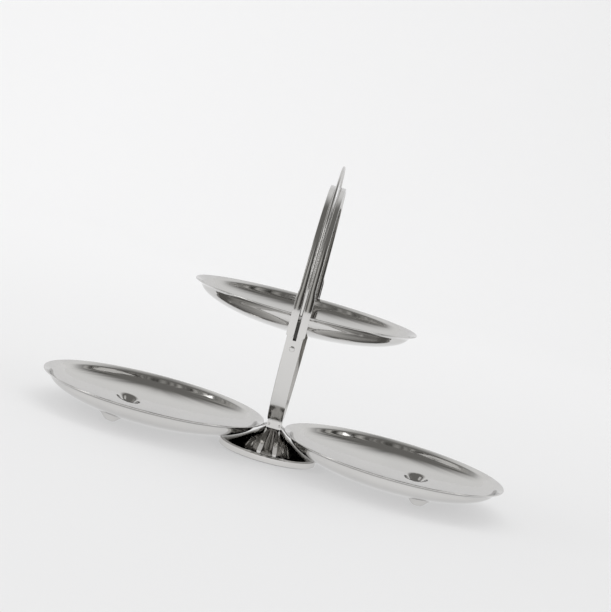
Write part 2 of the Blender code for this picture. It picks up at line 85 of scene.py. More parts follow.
class StandSizes(bpy.types.PropertyGroup):
    """Sizes of the pieces that show."""

    dish_rim_r: FloatProperty(
        name="Dish rim radius",
        description="Outside radius of each dish",
        default=DISH_RIM_R,
        unit="LENGTH",
    )
    flange_w: FloatProperty(
        name="Flange width",
        description="Width of the flat rim round the bowl",
        default=5.0 * MM,
        unit="LENGTH",
    )
    flange_rise: FloatProperty(
        name="Flange rise",
        description="How much the rim rises outwards",
        default=1.9 * MM,
        unit="LENGTH",
    )
    bowl_depth: FloatProperty(
        name="Bowl depth",
        description="Depth of the bowl under the flange",
        default=19.0 * MM,
        unit="LENGTH",
    )
    sheet: FloatProperty(
        name="Sheet",
        description="Thickness of the dish sheet",
        default=0.9 * MM,
        unit="LENGTH",
    )
    foot_circle_r: FloatProperty(
        name="Foot circle",
        description="Radius at which the feet are pressed",
        default=46.0 * MM,
        unit="LENGTH",
    )
    foot_r: FloatProperty(
        name="Foot radius",
        description="Radius of a pressed foot",
        default=9.5 * MM,
        unit="LENGTH",
    )
    foot_depth: FloatProperty(
        name="Foot depth",
        description="Depth of a pressed foot",
        default=4.8 * MM,
        unit="LENGTH",
    )
    strap_w: FloatProperty(
        name="Strap width",
        description="Width of the hoop's lower strap",
        default=11.5 * MM,
        unit="LENGTH",
    )
    slot_w: FloatProperty(
        name="Slot width",
        description="Gap between the two rails",
        default=2.2 * MM,
        unit="LENGTH",
    )
    wire_r: FloatProperty(
        name="Bail wire radius",
        description="Radius of the handle's wire",
        default=0.95 * MM,
        unit="LENGTH",
    )
    round_steps: IntProperty(
        name="Steps round a dish",
        description="How many facets a dish has round its middle",
        default=192,
        min=48,
    )


class StandFinishes(bpy.types.PropertyGroup):
    """Colours and polish of the surfaces."""

    steel: FloatVectorProperty(
        name="Polished steel",
        description="Reflected colour of the polished steel",
        size=3,
        subtype="COLOR",
        default=(0.67, 0.662, 0.648),
    )
    plain_steel: FloatVectorProperty(
        name="Plain steel",
        description="Colour of the small unpolished fittings",
        size=3,
        subtype="COLOR",
        default=(0.5, 0.495, 0.485),
    )
    # Painted shade: the real springs get a near-black colour that darkens the slots between the rails
    spring_steel: FloatVectorProperty(
        name="Spring steel",
        description="Colour of the dark springs behind the slots",
        size=3,
        subtype="COLOR",
        default=(0.07, 0.068, 0.065),
    )
    polish: FloatProperty(
        name="Polish roughness",
        description="Mean roughness of the polished steel",
        default=0.085,
        subtype="FACTOR",
    )
    floor: FloatVectorProperty(
        name="Floor",
        description="Colour of the table and backdrop",
        size=3,
        subtype="COLOR",
        default=(0.86, 0.86, 0.86),
    )


def sizes():
    return bpy.context.scene.stand_sizes


def finishes():
    return bpy.context.scene.stand_finishes


# Shader nodes

EVEN = (1.0, 1.0, 1.0)
UNIT = (0.0, 1.0)


def new_material(name):
    """A new node material, with its nodes and links."""
    material = bpy.data.materials.new(name)
    material.use_nodes = True
    return material, material.node_tree.nodes, material.node_tree.links


def feed(links, socket, value):
    """Link a socket to another one, or set it to a constant."""
    if isinstance(value, bpy.types.NodeSocket):
        links.new(value, socket)
    else:
        socket.default_value = value


def noise_of(nodes, links, scale, detail, stretch=EVEN):
    """Object-space noise, stretched to make streaks."""
    place = nodes.new("ShaderNodeTexCoord")
    mapping = nodes.new("ShaderNodeMapping")
    mapping.inputs["Scale"].default_value = stretch
    noise = nodes.new("ShaderNodeTexNoise")
    noise.inputs["Scale"].default_value = scale
    noise.inputs["Detail"].default_value = detail
    links.new(place.outputs["Object"], mapping.inputs["Vector"])
    links.new(mapping.outputs["Vector"], noise.inputs["Vector"])
    return noise.outputs["Fac"]


def mapped(nodes, links, source, limits, results=UNIT, smooth=False):
    """Map a value from its limits on to a range of results."""
    node = nodes.new("ShaderNodeMapRange")
    if smooth:
        node.interpolation_type = "SMOOTHSTEP"
    node.inputs["From Min"].default_value = limits[0]
    node.inputs["From Max"].default_value = limits[1]
    node.inputs["To Min"].default_value = results[0]
    node.inputs["To Max"].default_value = results[1]
    links.new(source, node.inputs["Value"])
    return node.outputs["Result"]


def worked_out(nodes, links, operation, values, clamp=False):
    """A sum of sockets and constants."""
    node = nodes.new("ShaderNodeMath")
    node.operation = operation
    node.use_clamp = clamp
    for socket, value in zip(node.inputs, values):
        feed(links, socket, value)
    return node.outputs["Value"]


def mixed(nodes, links, kind, share, first, second):
    """Mix two colours or two numbers, each a socket or a constant, by a share."""
    node = nodes.new("ShaderNodeMix")
    node.data_type = kind
    links.new(share, node.inputs["Factor"])
    feed(links, node.inputs["A"], first)
    feed(links, node.inputs["B"], second)
    return node.outputs["Result"]


def add_bump(nodes, links, shader, height, strength, depth):
    """Roughen a shader's surface by a height."""
    bump = nodes.new("ShaderNodeBump")
    bump.inputs["Strength"].default_value = strength
    bump.inputs["Distance"].default_value = depth
    links.new(height, bump.inputs["Height"])
    links.new(bump.outputs["Normal"], shader.inputs["Normal"])


# Materials

NOISE_LIMITS = (0.3, 0.7)
SHEEN_TINT = (0.8, 0.8, 0.8, 1.0)
CLOUD_SCALE = 38.0
CLOUD_DETAIL = 4.0
STAIN_SCALE = 14.0
STAIN_DETAIL = 6.0
STAIN_SHADE = 0.94
RUB_SCALE = 900.0
RUB_DETAIL = 2.0
RUB_DEPTH = 0.04 * MM
GRAIN_DETAIL = 6.0
GRAIN_STRENGTH = 0.5

# Name, share of the polish, haze, strength of the rubbing marks and their stretch
POLISHED = {
    "dish": ("polished_dish_steel", 1.0, 0.35, 0.05, EVEN),
    "strap": ("polished_strap_steel", 1.2, 0.4, 0.08, (1.0, 0.15, 0.15)),
    "foot": ("polished_foot_steel", 0.9, 0.4, 0.06, (1.0, 1.0, 0.2)),
    "wire": ("drawn_wire_steel", 1.6, 0.3, 0.1, (1.0, 0.1, 0.1)),
}
# Name, finish that holds the colour, roughness, haze and strength of the rubbing marks
UNPOLISHED = {
    "fitting": ("plain_fitting_steel", "plain_steel", 0.28, 0.3, 0.3),
    # The spring row's near-black colour is painted shade for the slots between the rails
    "spring": ("blued_spring_steel", "spring_steel", 0.35, 0.3, 0.2),
}
# Name, dark and light colour, roughness, metal, and the grain's scale and depth
GRAINY = {
    "weight": (
        "cast_weight_iron", (0.05, 0.05, 0.052, 1.0), (0.1, 0.1, 0.105, 1.0), 0.7, 0.6, 240.0, 0.2 * MM,
    ),
    "pad": (
        "pad_rubber", (0.02, 0.02, 0.02, 1.0), (0.04, 0.04, 0.04, 1.0), 0.8, 0.0, 600.0, 0.08 * MM,
    ),
}
MADE = {}


def steel_material(name, colour, roughness, haze, brushing, stretch=EVEN):
    """Stainless steel: cloudy polish, fine rubbing marks and a faint change of tone."""
    material, nodes, links = new_material(name)
    shader = nodes["Principled BSDF"]
    shader.inputs["Metallic"].default_value = 1.0
    shader.inputs["Specular Tint"].default_value = SHEEN_TINT
    cloud = noise_of(nodes, links, CLOUD_SCALE, CLOUD_DETAIL)
    limits = (roughness * (1.0 - haze), roughness * (1.0 + haze))
    links.new(mapped(nodes, links, cloud, NOISE_LIMITS, limits), shader.inputs["Roughness"])
    stain = noise_of(nodes, links, STAIN_SCALE, STAIN_DETAIL)
    share = mapped(nodes, links, stain, NOISE_LIMITS)
    stained = (*[STAIN_SHADE * c for c in colour], 1.0)
    tone = mixed(nodes, links, "RGBA", share, stained, (*colour, 1.0))
    links.new(tone, shader.inputs["Base Color"])
    rub = noise_of(nodes, links, RUB_SCALE, RUB_DETAIL, stretch)
    add_bump(nodes, links, shader, rub, brushing, RUB_DEPTH)
    return material


def grainy_material(name, dark, light, roughness, metallic, scale, depth):
    """A matt surface with grain, for the cast weight and the rubber pad."""
    material, nodes, links = new_material(name)
    shader = nodes["Principled BSDF"]
    shader.inputs["Metallic"].default_value = metallic
    shader.inputs["Roughness"].default_value = roughness
    grain = noise_of(nodes, links, scale, GRAIN_DETAIL)
    links.new(mixed(nodes, links, "RGBA", grain, dark, light), shader.inputs["Base Color"])
    add_bump(nodes, links, shader, grain, GRAIN_STRENGTH, depth)
    return material


def make_finish(kind):
    """Make the material of one kind from its row."""
    look = finishes()
    if kind in POLISHED:
        name, share, haze, brushing, stretch = POLISHED[kind]
        return steel_material(name, tuple(look.steel), look.polish * share, haze, brushing, stretch)
    if kind in UNPOLISHED:
        name, colour, roughness, haze, brushing = UNPOLISHED[kind]
        return steel_material(name, tuple(getattr(look, colour)), roughness, haze, brushing)
    return grainy_material(*GRAINY[kind])


def finish_of(kind):
    """The shared material of one kind, made at first use."""
    if kind not in MADE:
        MADE[kind] = make_finish(kind)
    return MADE[kind]


def dress_node(node, kind):
    """Give a carried-over frame node its procedural finish."""
    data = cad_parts[node].data
    data.materials.clear()
    data.materials.append(finish_of(kind))


# Mesh helpers

PLAIN_SHARP = 40.0
EDGE_SHARE = 0.48
CORNER_STEPS = 3


def add_piece(name, bm, kind, body, replaced, sharp=PLAIN_SHARP):
    """Link a mesh as a named piece that rides on a body and stands for its frame nodes."""
    bmesh.ops.recalc_face_normals(bm, faces=bm.faces)
    data = bpy.data.meshes.new(name)
    bm.to_mesh(data)
    bm.free()
    data.shade_smooth()
    data.set_sharp_from_angle(angle=math.radians(sharp))
    piece = bpy.data.objects.new(name, data)
    bpy.context.scene.collection.objects.link(piece)
    data.materials.append(finish_of(kind))
    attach(piece, body)
    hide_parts(*replaced)


def spread(low, high, count):
    """Evenly spaced values from low to high, both ends included."""
    return [low + (high - low) * i / count for i in range(count + 1)]


def smooth_step(value):
    """Ease from 0 to 1."""
    value = min(max(value, 0.0), 1.0)
    return value * value * (3.0 - 2.0 * value)


def ring_faces(bm, rings, closed=False):
    """Bridge a list of equal rings; closed joins the last one back to the first."""
    pairs = list(zip(rings, rings[1:]))
    if closed:
        pairs.append((rings[-1], rings[0]))
    count = len(rings[0])
    for here, there in pairs:
        for i in range(count):
            j = (i + 1) % count
            bm.faces.new((here[i], here[j], there[j], there[i]))


def capped_rings(bm, rings):
    """Bridge a list of equal rings and close both ends."""
    ring_faces(bm, rings)
    bm.faces.new(rings[0])
    bm.faces.new(rings[-1])


def lathe(profile, steps):
    """Spin a closed outline of (radius, height) points that stay off the axis."""
    bm = bmesh.new()
    rings = []
    for radius, height in profile:
        ring = []
        for i in range(steps):
            angle = math.tau * i / steps
            ring.append(bm.verts.new((radius * math.cos(angle), radius * math.sin(angle), height)))
        rings.append(ring)
    ring_faces(bm, rings, closed=True)
    return bm


def on_hoop(radius, angle):
    """Point on the hoop's plane; angle 0 is the front, a quarter turn is the top."""
    return -radius * math.cos(angle), HOOP_Z + radius * math.sin(angle)


def rounded_section(low_x, high_x, inner_r, outer_r, edge):
    """Points round a strap's section, with its long edges rounded."""
    edge = min(edge, EDGE_SHARE * (outer_r - inner_r), EDGE_SHARE * abs(high_x - low_x))
    points = []
    corners = ((high_x, outer_r, 0), (low_x, outer_r, 1), (low_x, inner_r, 2), (high_x, inner_r, 3))
    for x, radius, quarter in corners:
        middle_x = x - edge if quarter in (0, 3) else x + edge
        middle_r = radius - edge if quarter in (0, 1) else radius + edge
        for i in range(CORNER_STEPS + 1):
            angle = (quarter + i / CORNER_STEPS) * math.pi / 2.0
            points.append((middle_x + edge * math.cos(angle), middle_r + edge * math.sin(angle)))
    return points


def strap(bm, stations, inner_r, outer_r, edge):
    """Sweep a rounded strap along the hoop.  Stations are (angle, low x, high x)."""
    rings = []
    for angle, low_x, high_x in stations:
        ring = []
        for x, radius in rounded_section(low_x, high_x, inner_r, outer_r, edge):
            y, z = on_hoop(radius, angle)
            ring.append(bm.verts.new((x, y, z)))
        rings.append(ring)
    capped_rings(bm, rings)


# Dishes

DISH_SHARP = 60.0
FOOT_TURN = math.radians(60.0)
FOOT_WALL = 0.75
BOWL_FIRST = 1.5
BOWL_LAST = 82.0
BOWL_STEPS = 46
SHEET_INSIDE = 0.8
SHEET_OUTSIDE = 0.2
# How far out from the bowl and down from the flange the lip's points lie
LIP_POINTS = ((-0.32 * MM, 0.75 * MM), (0.1 * MM, 0.2 * MM))
LIP_OUT = 0.8 * MM
LIP_RISE = 0.86
# How far out from the bowl, and at which share of the flange's rise, the underside's points lie
UNDER_LIP_POINTS = ((1.2 * MM, 0.8), (0.45 * MM, 1.08))
RIM_INSET = 1.2 * MM
RIM_DROP = 0.36 * MM
BEAD_TURN = 80.0
BEAD_STEPS = 6


def press_depth(x, y, side):
    """Depth of the pressed feet at a point of a lower dish; side is the way its feet lie."""
    s = sizes()
    deepest = 0.0
    for sign in (-1.0, 1.0):
        foot_x = side * s.foot_circle_r * math.cos(FOOT_TURN)
        foot_y = sign * s.foot_circle_r * math.sin(FOOT_TURN)
        away = math.hypot(x - foot_x, y - foot_y) / s.foot_r
        deepest = max(deepest, s.foot_depth * smooth_step((1.0 - away) / FOOT_WALL))
    return deepest


def dish_profile():
    """Points from the middle of the bowl, up its inside, round the rim and back under it."""
    s = sizes()
    bowl_r = s.dish_rim_r - s.flange_w
    shares = [math.sin(math.radians(a)) for a in spread(BOWL_FIRST, BOWL_LAST, BOWL_STEPS)]

    def bowl(reach, depth):
        return [(reach * p, -s.flange_rise - depth * math.sqrt(1.0 - p * p)) for p in shares]

    top = bowl(bowl_r - SHEET_INSIDE * s.sheet, s.bowl_depth - s.sheet)
    under = bowl(bowl_r + SHEET_OUTSIDE * s.sheet, s.bowl_depth)
    rim_top = [(bowl_r + out, -s.flange_rise - down) for out, down in LIP_POINTS]
    rim_top.append((bowl_r + LIP_OUT, -s.flange_rise * LIP_RISE))
    rim_top.append((s.dish_rim_r - RIM_INSET, -RIM_DROP))
    bead = s.sheet / 2.0
    edge = []
    for angle in spread(BEAD_TURN, -BEAD_TURN, BEAD_STEPS):
        turn = math.radians(angle)
        edge.append((s.dish_rim_r - bead + bead * math.cos(turn), -bead + bead * math.sin(turn)))
    rim_under = [(s.dish_rim_r - RIM_INSET, -s.sheet - RIM_DROP)]
    rim_under += [(bowl_r + out, -s.sheet - s.flange_rise * share) for out, share in UNDER_LIP_POINTS]
    return top + rim_top + edge + rim_under + under[::-1]


def dish_mesh(middle, side, table_z):
    """One dish; side 0 has no feet, -1 or 1 has its feet pressed on that side, worn flat at the table."""
    steps = sizes().round_steps
    profile = dish_profile()
    bm = bmesh.new()

    def place(x, y, height):
        press = press_depth(x, y, side) if side else 0.0
        return bm.verts.new((middle.x + x, middle.y + y, max(middle.z + height - press, table_z)))

    rings = []
    for radius, height in profile:
        ring = []
        for i in range(steps):
            angle = math.tau * i / steps
            ring.append(place(radius * math.cos(angle), radius * math.sin(angle), height))
        rings.append(ring)
    ring_faces(bm, rings)
    for ring, height in ((rings[0], profile[0][1]), (rings[-1], profile[-1][1])):
        pole = place(0.0, 0.0, height)
        for i in range(steps):
            bm.faces.new((pole, ring[i], ring[(i + 1) % steps]))
    return bm


class STAND_OT_dishes(bpy.types.Operator):
    """Make the upper dish and the two footed lower dishes"""

    bl_idname = "stand.dishes"
    bl_label = "Dishes"

    def execute(self, context):
        rows = (
            ("upper", UPPER_BOX, 0, UPPER),
            ("left", LEFT_BOX, -1, LEFT),
            ("right", RIGHT_BOX, 1, RIGHT),
        )
        for name, limits, side, body in rows:
            low, high = limits
            middle = Vector(((low.x + high.x) / 2.0, (low.y + high.y) / 2.0, high.z))
            bm = dish_mesh(middle, side, low.z)
            add_piece(name + "_dish_polished", bm, "dish", body, [name + "_dish"], DISH_SHARP)
        return {"FINISHED"}


# Hoop

CRADLE_T = 1.7 * MM
RAIL_GAP = 0.2 * MM
RAIL_T = 1.8 * MM
CRADLE_TOP = math.radians(11.8)
SLOT_BOTTOM = math.radians(-11.8)
PRONG_LAP = math.radians(0.2)
RAIL_END = math.radians(-10.4)
TONGUE_TOP = math.radians(11.6)
TONGUE_SHOULDER = math.radians(4.0)
TONGUE_GROW = 0.9 * MM
TONGUE_TIP = 0.04
TONGUE_TURNS = (0.0, 0.04, 0.1, 0.2, 0.35, 0.55, 0.8, 1.1, 1.5, 1.9)
TONGUE_STRAIGHT = math.radians(-7.0)
STRAP_EDGE = 0.45 * MM
CRADLE_STEPS = 120
PRONG_STEPS = 16
TONGUE_STEPS = 18
RAIL_STEPS = 110


def rail_sides(angle):
    """Inner and outer |x| of a rail, wider where it laps the strap, with a rounded tongue end."""
    s = sizes()
    inner = s.slot_w / 2.0
    height = angle if angle < math.pi / 2.0 else math.pi - angle
    outer = s.strap_w / 2.0 + TONGUE_GROW * smooth_step((TONGUE_TOP - height) / TONGUE_SHOULDER)
    middle = (inner + outer) / 2.0
    half = (outer - inner) / 2.0
    from_end = (height - RAIL_END) * CRADLE_OUTER_R
    if from_end < half:
        half *= math.sqrt(max(1.0 - (1.0 - from_end / half) ** 2, TONGUE_TIP))
    return middle - half, middle + half


def make_cradle():
    """The hoop's lower strap, with two prongs beside the slot at each end."""
    s = sizes()
    half = s.strap_w / 2.0
    half_slot = s.slot_w / 2.0
    inner_r = CRADLE_OUTER_R - CRADLE_T
    back_slot = -math.pi - SLOT_BOTTOM
    back_top = -math.pi - CRADLE_TOP
    bm = bmesh.new()
    solid = spread(SLOT_BOTTOM, back_slot, CRADLE_STEPS)
    strap(bm, [(angle, -half, half) for angle in solid], inner_r, CRADLE_OUTER_R, STRAP_EDGE)
    for start, end in ((SLOT_BOTTOM - PRONG_LAP, CRADLE_TOP), (back_slot + PRONG_LAP, back_top)):
        for low_x, high_x in ((-half, -half_slot), (half_slot, half)):
            prong = [(angle, low_x, high_x) for angle in spread(start, end, PRONG_STEPS)]
            strap(bm, prong, inner_r, CRADLE_OUTER_R, STRAP_EDGE)
    add_piece("hoop_strap_polished", bm, "strap", STAND, ["hoop_cradle"])


def make_rails():
    """The two straps of the upper hoop, whose tongues lap the cradle."""
    lower = [RAIL_END + math.radians(turn) for turn in TONGUE_TURNS]
    lower += spread(TONGUE_STRAIGHT, TONGUE_TOP, TONGUE_STEPS)
    over = spread(TONGUE_TOP, math.pi - TONGUE_TOP, RAIL_STEPS)[1:-1]
    angles = lower + over + [math.pi - angle for angle in reversed(lower)]
    rail_in = CRADLE_OUTER_R + RAIL_GAP
    for name, side in (("left_rail", -1.0), ("right_rail", 1.0)):
        bm = bmesh.new()
        stations = []
        for angle in angles:
            low_x, high_x = sorted(side * x for x in rail_sides(angle))
            stations.append((angle, low_x, high_x))
        strap(bm, stations, rail_in, rail_in + RAIL_T, STRAP_EDGE)
        add_piece(name + "_polished", bm, "strap", STAND, [name])


class STAND_OT_hoop(bpy.types.Operator):
    """Make the hoop's lower strap with its slotted ends, and the two rails over it"""

    bl_idname = "stand.hoop"
    bl_label = "Hoop"

    def execute(self, context):
        make_cradle()
        make_rails()
        return {"FINISHED"}


# Bail

BAIL_BEND_R = 2.0 * MM
BAIL_PIN_GAP = 0.15 * MM
BAIL_BEND_STEPS = 10
BAIL_ARCH_STEPS = 120
WIRE_SIDES = 20


def bail_path():
    """Points (y, z) along the wire: a pivot end, its bend, the arch, and the same at the back."""
    s = sizes()
    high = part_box("bail_handle")[1]
    span_r = high.y - s.wire_r
    arch_z = high.z - s.wire_r - span_r
    end = [(-s.dish_rim_r - BAIL_PIN_GAP, HOOP_Z)]
    for turn in spread(0.0, math.pi / 2.0, BAIL_BEND_STEPS):
        y = -span_r + BAIL_BEND_R * (1.0 - math.sin(turn))
        end.append((y, HOOP_Z + BAIL_BEND_R * (1.0 - math.cos(turn))))
    path = list(end)
    for angle in spread(0.0, math.pi, BAIL_ARCH_STEPS):
        path.append((-span_r * math.cos(angle), arch_z + span_r * math.sin(angle)))
    return path + [(-y, z) for y, z in reversed(end)]


class STAND_OT_bail(bpy.types.Operator):
    """Bend the wire bail with its in-turned pivot ends"""

    bl_idname = "stand.bail"
    bl_label = "Bail handle"

    def execute(self, context):
        wire_r = sizes().wire_r
        path = bail_path()
        bm = bmesh.new()
        rings = []
        for i, (y, z) in enumerate(path):
            before = path[max(i - 1, 0)]
            after = path[min(i + 1, len(path) - 1)]
            along = Vector((0.0, after[0] - before[0], after[1] - before[1])).normalized()
            outward = Vector((0.0, along.z, -along.y))
            ring = []
            for k in range(WIRE_SIDES):
                turn = math.tau * k / WIRE_SIDES
                offset = Vector((math.cos(turn), 0.0, 0.0)) + outward * math.sin(turn)
                ring.append(bm.verts.new(Vector((0.0, y, z)) + offset * wire_r))
            rings.append(ring)
        capped_rings(bm, rings)
        add_piece("bail_handle_polished", bm, "wire", STAND, ["bail_handle"])
        return {"FINISHED"}


# Foot

FOOT_SHARP = 30.0
FOOT_STEPS = 160
CONE_SHEET = 1.2 * MM
CONE_WALL = 1.1 * CONE_SHEET
CONE_BAND_H = 4.5 * MM
CONE_TOP_R = 6.0 * MM
CONE_TOP_EDGE = 0.5 * MM
CONE_HOLE_R = 1.65 * MM
CONE_FLARE = 1.6
CONE_STEPS = 60
CONE_INSIDE_FROM = 4
BAND_EDGE = 0.3 * MM
BAND_BEAD_R = 0.7 * MM
BAND_BEAD_DROP = 0.2 * MM
BAND_BEAD_TURN = 80.0
BAND_BEAD_STEPS = 6
GROOVE_OUT = 0.1 * MM
GROOVE_UP = 0.05 * MM
FLARE_INSET = 0.3 * MM
FLARE_FOOT = 0.6 * CONE_SHEET
BAND_INSIDE_DROP = 0.5 * CONE_SHEET


def cone_height(radius):
    """Outside height of the flared cone at a radius."""
    edge = CONE_R - CONE_SHEET
    along = min(max((radius - CONE_TOP_R) / (edge - CONE_TOP_R), 0.0), 1.0)
    low = CONE_BAND_H + FLARE_FOOT
    return low + (CONE_TOP_Z - low) * (1.0 - along) ** CONE_FLARE


def foot_profile():
    """Outline of the foot: up the band and its bead, over the groove and flare, and back inside."""
    edge = CONE_R - CONE_SHEET
    profile = [(CONE_R - BAND_EDGE, CONE_LIFT), (CONE_R, CONE_LIFT + BAND_EDGE)]
    for turn in spread(0.0, BAND_BEAD_TURN, BAND_BEAD_STEPS):
        angle = math.radians(turn)
        height = CONE_BAND_H - BAND_BEAD_DROP + BAND_BEAD_R * math.sin(angle)
        profile.append((CONE_R - BAND_BEAD_R + BAND_BEAD_R * math.cos(angle), height))
    profile.append((edge + GROOVE_OUT, CONE_BAND_H + GROOVE_UP))
    radii = spread(edge - FLARE_INSET, CONE_TOP_R, CONE_STEPS)
    profile += [(radius, cone_height(radius)) for radius in radii]
    profile.append((CONE_TOP_R - CONE_TOP_EDGE, CONE_TOP_Z))
    profile.append((CONE_HOLE_R, CONE_TOP_Z))
    profile.append((CONE_HOLE_R, CONE_TOP_Z - CONE_WALL))
    profile += [(radius, cone_height(radius) - CONE_WALL) for radius in reversed(radii[CONE_INSIDE_FROM:])]
    profile.append((edge, CONE_BAND_H - BAND_INSIDE_DROP))
    profile.append((edge, CONE_LIFT))
    return profile


class STAND_OT_foot(bpy.types.Operator):
    """Spin the flared foot with its turned band, and finish what it holds"""

    bl_idname = "stand.foot"
    bl_label = "Foot"

    def execute(self, context):
        bm = lathe(foot_profile(), FOOT_STEPS)
        add_piece("foot_cone_polished", bm, "foot", STAND, ["base_cone"], FOOT_SHARP)
        dress_node("base_weight", "weight")
        dress_node("base_pad", "pad")
        dress_node("base_screw", "fitting")
        dress_node("base_washer", "fitting")
        return {"FINISHED"}


# Neck and hinges

PIN_DOME = 0.15 * MM
PIN_STEPS = 28
# Share of the pin's radius, and share of the dome's height, from the tip to the shoulder
PIN_DOME_ROWS = ((0.45, 0.8), (0.85, 0.35), (1.0, 0.0))


def domed_pin(radius, front, back):
    """A pin along Y between two ends, with slightly domed faces."""
    bm = bmesh.new()
    rows = [(share * radius, front - rise * PIN_DOME) for share, rise in PIN_DOME_ROWS]
    rows += [(share * radius, back + rise * PIN_DOME) for share, rise in reversed(PIN_DOME_ROWS)]
    rings = []
    for ring_r, y in rows:
        ring = []
        for i in range(PIN_STEPS):
            angle = math.tau * i / PIN_STEPS
            ring.append(bm.verts.new((ring_r * math.cos(angle), y, ring_r * math.sin(angle))))
        rings.append(ring)
    capped_rings(bm, rings)
    return bm


class STAND_OT_neck(bpy.types.Operator):
    """Finish the neck block, the hinge leaves and the hinge pins"""

    bl_idname = "stand.neck"
    bl_label = "Neck and hinges"

    def execute(self, context):
        dress_node("neck_block", "strap")
        dress_node("cradle_screw", "fitting")
        for side in ("left", "right"):
            dress_node(side + "_hinge_leaf", "fitting")
            pin = side + "_hinge_pin"
            low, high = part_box(pin)
            middle = (low + high) / 2.0
            radius = (high.x - low.x) / 2.0
            bm = domed_pin(radius, low.y + PIN_DOME, high.y - PIN_DOME)
            bmesh.ops.translate(bm, vec=Vector((middle.x, 0.0, middle.z)), verts=bm.verts)
            add_piece(pin + "_polished", bm, "strap", STAND, [pin])
        return {"FINISHED"}


# Fittings

RIVET_TURN = math.radians(-15.8)
RIVET_HEAD_R = 2.0 * MM
RIVET_HEAD_H = 1.0 * MM
RIVET_HEAD_TURN = 86.0
RIVET_HEAD_STEPS = 9
RIVET_SHANK_R = 1.0 * MM
RIVET_CORE_R = 0.05 * MM
RIVET_STEPS = 40
RIVET_SEAT_R = CRADLE_OUTER_R + 0.1 * MM
RIVET_TAIL_R = CRADLE_OUTER_R - CRADLE_T - 1.0 * MM
RIVET_CORE_TOP = 0.98
# Share of the head's radius, and share of its height, round the tail
RIVET_TAIL_ROWS = ((0.85, 0.0), (0.75, 0.45))
RIVET_TAIL_TIP = 0.6


def rivet_profile():
    """Outline of a rivet: its domed head, its shank and its flatter tail, on the hoop's radius."""
    profile = []
    for turn in spread(RIVET_HEAD_TURN, 0.0, RIVET_HEAD_STEPS):
        angle = math.radians(turn)
        profile.append((RIVET_HEAD_R * math.cos(angle), RIVET_SEAT_R + RIVET_HEAD_H * math.sin(angle)))
    profile.append((RIVET_SHANK_R, RIVET_SEAT_R))
    profile.append((RIVET_SHANK_R, RIVET_TAIL_R))
    profile += [(share * RIVET_HEAD_R, RIVET_TAIL_R - fall * RIVET_HEAD_H) for share, fall in RIVET_TAIL_ROWS]
    profile.append((RIVET_CORE_R, RIVET_TAIL_R - RIVET_TAIL_TIP * RIVET_HEAD_H))
    profile.append((RIVET_CORE_R, RIVET_SEAT_R + RIVET_HEAD_H * RIVET_CORE_TOP))
    return profile


class STAND_OT_fittings(bpy.types.Operator):
    """Make the domed rivets, and finish the springs, whose near-black colour paints the shade in the slots,
    the rail ties and the dish lugs
    """

    bl_idname = "stand.fittings"
    bl_label = "Fittings"

    def execute(self, context):
        for name, side in (("front", -1.0), ("back", 1.0)):
            # The springs' near-black finish paints the shade in the slots
            dress_node(name + "_leaf_spring", "spring")
            dress_node(name + "_rail_tie", "fitting")
            dress_node(name + "_dish_lug", "fitting")
            bm = lathe(rivet_profile(), RIVET_STEPS)
            turn = Matrix.Rotation(-side * (math.pi / 2.0 - RIVET_TURN), 4, "X")
            seat = Matrix.Translation((0.0, 0.0, HOOP_Z)) @ turn
            bmesh.ops.transform(bm, matrix=seat, verts=bm.verts)
            add_piece(name + "_rivet_polished", bm, "strap", STAND, [name + "_spring_rivet"])
        return {"FINISHED"}


# Camera

IMAGE_WIDTH = 611
IMAGE_HEIGHT = 612
SENSOR = 36.0
CAMERA_DISTANCE = 1.15
CAMERA_HEIGHT = 0.2195
CAMERA_YAW = math.radians(1.3)
CAMERA_PITCH = math.radians(5.18)
CAMERA_ROLL = math.radians(15.2)
CAMERA_AIM = math.radians(0.04)
CAMERA_PIXELS = 1550.0


def make_camera():
    """The photograph's view: low, from the front, with the whole picture turned by the roll."""
    data = bpy.data.cameras.new("photo_camera")
    data.sensor_width = SENSOR
    data.sensor_fit = "AUTO"
    data.lens = CAMERA_PIXELS * SENSOR / max(IMAGE_WIDTH, IMAGE_HEIGHT)
    data.dof.use_dof = False
    camera = bpy.data.objects.new("photo_camera", data)
    bpy.context.scene.collection.objects.link(camera)
    place_x = CAMERA_DISTANCE * math.sin(CAMERA_YAW)
    place_y = -CAMERA_DISTANCE * math.cos(CAMERA_YAW)
    place = Vector((place_x, place_y, CAMERA_HEIGHT))
    aim = CAMERA_YAW + CAMERA_AIM
    heading = Vector((-math.sin(aim), math.cos(aim), 0.0))
    forward = heading * math.cos(CAMERA_PITCH) + Vector((0.0, 0.0, -math.sin(CAMERA_PITCH)))
    right = forward.cross(Vector((0.0, 0.0, 1.0))).normalized()
    up = right.cross(forward)
    rolled_up = up * math.cos(CAMERA_ROLL) - right * math.sin(CAMERA_ROLL)
    rolled_right = forward.cross(rolled_up)
    turn = Matrix((rolled_right, rolled_up, -forward)).transposed()
    camera.matrix_world = Matrix.Translation(place) @ turn.to_4x4()
    bpy.context.scene.camera = camera


# Table and backdrop

TABLE_DEPTHS = (-6.0, -1.5, 0.0, 1.2)
TABLE_WIDTHS = (-6.0, -2.0, 2.0, 6.0)
TABLE_DROP = 0.2 * MM
SWEEP_START = 1.6
SWEEP_R = 0.9
SWEEP_STEPS = 12
BACKDROP_TOP = (2.5, 1.4)
TABLE_ROUGHNESS = 0.7
TABLE_SHEEN = 0.2
GLOW_COLOUR = (0.993, 0.993, 1.0, 1.0)
# The background's glow grows from the front to the back and falls from left to right
GLOW_DEPTHS = (-0.3, 1.6)
GLOW_LEVELS = (0.75, 0.94)
GLOW_SIDES = (-0.6, 0.6)
GLOW_TILT = (0.05, -0.05)
GLOW_IN_STEEL = 0.25
CAMERA_SHARE = 0.55
STEEL_SHARE = 0.72


